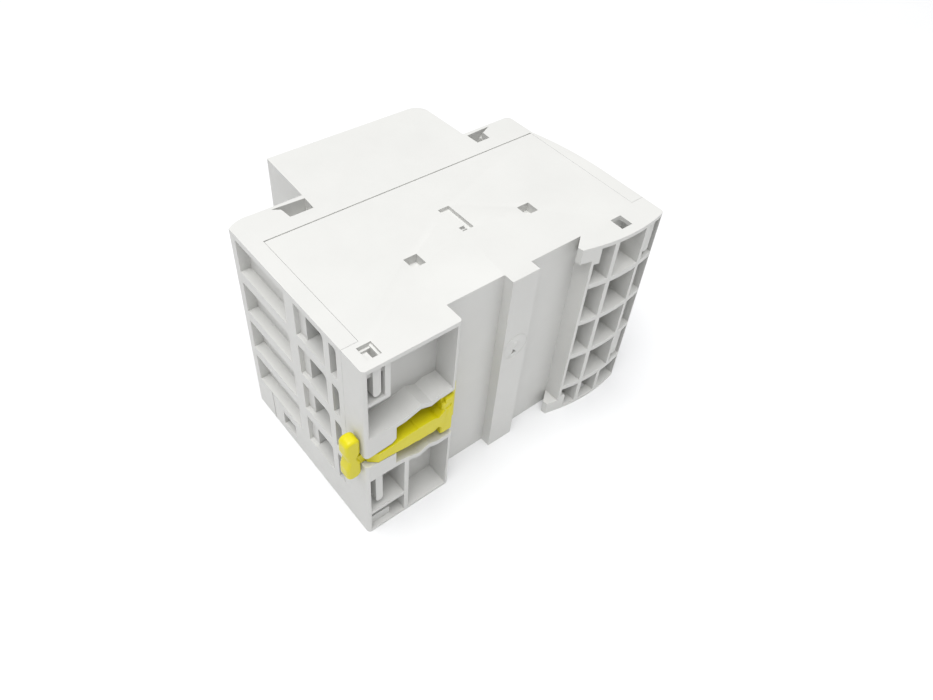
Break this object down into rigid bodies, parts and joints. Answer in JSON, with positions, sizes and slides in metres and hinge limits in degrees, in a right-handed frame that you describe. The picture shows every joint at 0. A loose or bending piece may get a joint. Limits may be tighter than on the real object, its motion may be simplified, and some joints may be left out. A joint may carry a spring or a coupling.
{
  "type": "din rail contactor",
  "caption": "Modular contactor for a DIN rail: stepped box with wire entries at both ends, ribbed open rear, fixed hooks and a sliding pull clip.",
  "frame": {"origin": "middle of the bounding box of the whole part, rail clip latched, on the plane of the side wall it lies on", "axes": "+Z across the modules from the side wall it lies on to the other; +X from the fixed-hook end to the rail-clip end; +Y from the front nose to the rail"},
  "size_m": [0.0828, 0.0653, 0.054],
  "materials": {
    "housing": "matt light grey moulding",
    "clip_plastic": "glossy yellow moulding",
    "magnet_steel": "stacked electrical steel",
    "cushion": "black elastomer",
    "bobbin_plastic": "black glass-filled moulding",
    "winding": "enamelled copper wire",
    "copper": "bare copper",
    "tinned": "tin-plated copper",
    "silver": "silver alloy",
    "zinc_steel": "zinc-plated steel",
    "spring_steel": "drawn spring wire",
    "carrier_plastic": "dark thermoset moulding",
    "flag_plastic": "orange-red moulding",
    "clear": "clear polycarbonate",
    "label": "blank marking plate"
  },
  "bodies": {
    "housing": {"base_housing": "housing", "front_cover": "housing", "indicator_lens": "clear", "marking_label": "label", "magnet_core": "magnet_steel", "core_cushion": "cushion", "shading_rings": "copper", "coil_bobbin": "bobbin_plastic", "coil_winding": "winding", "coil_leads": "winding", "return_springs": "spring_steel", "fixed_tips": "silver", "load_bar_1": "tinned", "line_bar_1": "tinned", "load_bar_2": "tinned", "line_bar_2": "tinned", "load_bar_3": "tinned", "line_bar_3": "tinned", "load_bar_4": "tinned", "line_bar_4": "tinned", "coil_strip_a1": "tinned", "coil_strip_a2": "tinned"},
    "clip": {"rail_clip": "clip_plastic"},
    "carrier": {"contact_carrier": "carrier_plastic", "armature": "magnet_steel", "armature_pin": "zinc_steel", "indicator_flag": "flag_plastic", "contact_springs": "spring_steel", "moving_tips": "silver", "contact_bridge_1": "copper", "contact_bridge_2": "copper", "contact_bridge_3": "copper", "contact_bridge_4": "copper"},
    "load_screw_1": {"load_screw_1": "zinc_steel"},
    "load_cage_1": {"load_cage_1": "zinc_steel"},
    "load_screw_2": {"load_screw_2": "zinc_steel"},
    "load_cage_2": {"load_cage_2": "zinc_steel"},
    "load_screw_3": {"load_screw_3": "zinc_steel"},
    "load_cage_3": {"load_cage_3": "zinc_steel"},
    "load_screw_4": {"load_screw_4": "zinc_steel"},
    "load_cage_4": {"load_cage_4": "zinc_steel"},
    "line_screw_1": {"line_screw_1": "zinc_steel"},
    "line_cage_1": {"line_cage_1": "zinc_steel"},
    "line_screw_2": {"line_screw_2": "zinc_steel"},
    "line_cage_2": {"line_cage_2": "zinc_steel"},
    "line_screw_3": {"line_screw_3": "zinc_steel"},
    "line_cage_3": {"line_cage_3": "zinc_steel"},
    "line_screw_4": {"line_screw_4": "zinc_steel"},
    "line_cage_4": {"line_cage_4": "zinc_steel"},
    "coil_screw_a1": {"coil_screw_a1": "zinc_steel"},
    "coil_cage_a1": {"coil_cage_a1": "zinc_steel"},
    "coil_screw_a2": {"coil_screw_a2": "zinc_steel"},
    "coil_cage_a2": {"coil_cage_a2": "zinc_steel"}
  },
  "joints": [
    {"name": "clip_slide", "type": "slide", "parent": "housing", "child": "clip", "axis": [1, 0, 0], "range_m": [0, 0.003]},
    {"name": "carrier_slide", "type": "slide", "parent": "housing", "child": "carrier", "axis": [0, 1, 0], "range_m": [0, 0.00295], "stiffness_N_per_m": 2000, "springref_m": -0.002, "deforming": ["return_springs"]},
    {"name": "load_screw_1_turn", "type": "hinge", "parent": "housing", "child": "load_screw_1", "pos_m": [0.0296, -0.00295, 0.0141], "axis": [0, 1, 0], "range_deg": [0, 3810]},
    {"name": "load_cage_1_rise", "type": "slide", "parent": "housing", "child": "load_cage_1", "axis": [0, -1, 0], "range_m": [0, 0.0074]},
    {"name": "load_screw_2_turn", "type": "hinge", "parent": "housing", "child": "load_screw_2", "pos_m": [0.0296, -0.00295, 0.0255], "axis": [0, 1, 0], "range_deg": [0, 3810]},
    {"name": "load_cage_2_rise", "type": "slide", "parent": "housing", "child": "load_cage_2", "axis": [0, -1, 0], "range_m": [0, 0.0074]},
    {"name": "load_screw_3_turn", "type": "hinge", "parent": "housing", "child": "load_screw_3", "pos_m": [0.0296, -0.00295, 0.0369], "axis": [0, 1, 0], "range_deg": [0, 3810]},
    {"name": "load_cage_3_rise", "type": "slide", "parent": "housing", "child": "load_cage_3", "axis": [0, -1, 0], "range_m": [0, 0.0074]},
    {"name": "load_screw_4_turn", "type": "hinge", "parent": "housing", "child": "load_screw_4", "pos_m": [0.0296, -0.00295, 0.0483], "axis": [0, 1, 0], "range_deg": [0, 3810]},
    {"name": "load_cage_4_rise", "type": "slide", "parent": "housing", "child": "load_cage_4", "axis": [0, -1, 0], "range_m": [0, 0.0074]},
    {"name": "line_screw_1_turn", "type": "hinge", "parent": "housing", "child": "line_screw_1", "pos_m": [-0.0318, -0.00295, 0.0141], "axis": [0, 1, 0], "range_deg": [0, 3810]},
    {"name": "line_cage_1_rise", "type": "slide", "parent": "housing", "child": "line_cage_1", "axis": [0, -1, 0], "range_m": [0, 0.0074]},
    {"name": "line_screw_2_turn", "type": "hinge", "parent": "housing", "child": "line_screw_2", "pos_m": [-0.0318, -0.00295, 0.0255], "axis": [0, 1, 0], "range_deg": [0, 3810]},
    {"name": "line_cage_2_rise", "type": "slide", "parent": "housing", "child": "line_cage_2", "axis": [0, -1, 0], "range_m": [0, 0.0074]},
    {"name": "line_screw_3_turn", "type": "hinge", "parent": "housing", "child": "line_screw_3", "pos_m": [-0.0318, -0.00295, 0.0369], "axis": [0, 1, 0], "range_deg": [0, 3810]},
    {"name": "line_cage_3_rise", "type": "slide", "parent": "housing", "child": "line_cage_3", "axis": [0, -1, 0], "range_m": [0, 0.0074]},
    {"name": "line_screw_4_turn", "type": "hinge", "parent": "housing", "child": "line_screw_4", "pos_m": [-0.0318, -0.00295, 0.0483], "axis": [0, 1, 0], "range_deg": [0, 3810]},
    {"name": "line_cage_4_rise", "type": "slide", "parent": "housing", "child": "line_cage_4", "axis": [0, -1, 0], "range_m": [0, 0.0074]},
    {"name": "coil_screw_a1_turn", "type": "hinge", "parent": "housing", "child": "coil_screw_a1", "pos_m": [-0.0301, -0.00295, 0.0049], "axis": [0, 1, 0], "range_deg": [0, 3685]},
    {"name": "coil_cage_a1_rise", "type": "slide", "parent": "housing", "child": "coil_cage_a1", "axis": [0, -1, 0], "range_m": [0, 0.0046]},
    {"name": "coil_screw_a2_turn", "type": "hinge", "parent": "housing", "child": "coil_screw_a2", "pos_m": [0.0261, -0.00295, 0.0049], "axis": [0, 1, 0], "range_deg": [0, 3685]},
    {"name": "coil_cage_a2_rise", "type": "slide", "parent": "housing", "child": "coil_cage_a2", "axis": [0, -1, 0], "range_m": [0, 0.0046]}
  ],
  "couplings": [
    {"joint": "load_screw_1_turn", "follows": "load_cage_1_rise", "rad_per_m": 8976},
    {"joint": "load_screw_2_turn", "follows": "load_cage_2_rise", "rad_per_m": 8976},
    {"joint": "load_screw_3_turn", "follows": "load_cage_3_rise", "rad_per_m": 8976},
    {"joint": "load_screw_4_turn", "follows": "load_cage_4_rise", "rad_per_m": 8976},
    {"joint": "line_screw_1_turn", "follows": "line_cage_1_rise", "rad_per_m": 8976},
    {"joint": "line_screw_2_turn", "follows": "line_cage_2_rise", "rad_per_m": 8976},
    {"joint": "line_screw_3_turn", "follows": "line_cage_3_rise", "rad_per_m": 8976},
    {"joint": "line_screw_4_turn", "follows": "line_cage_4_rise", "rad_per_m": 8976},
    {"joint": "coil_screw_a1_turn", "follows": "coil_cage_a1_rise", "rad_per_m": 13963},
    {"joint": "coil_screw_a2_turn", "follows": "coil_cage_a2_rise", "rad_per_m": 13963}
  ]
}
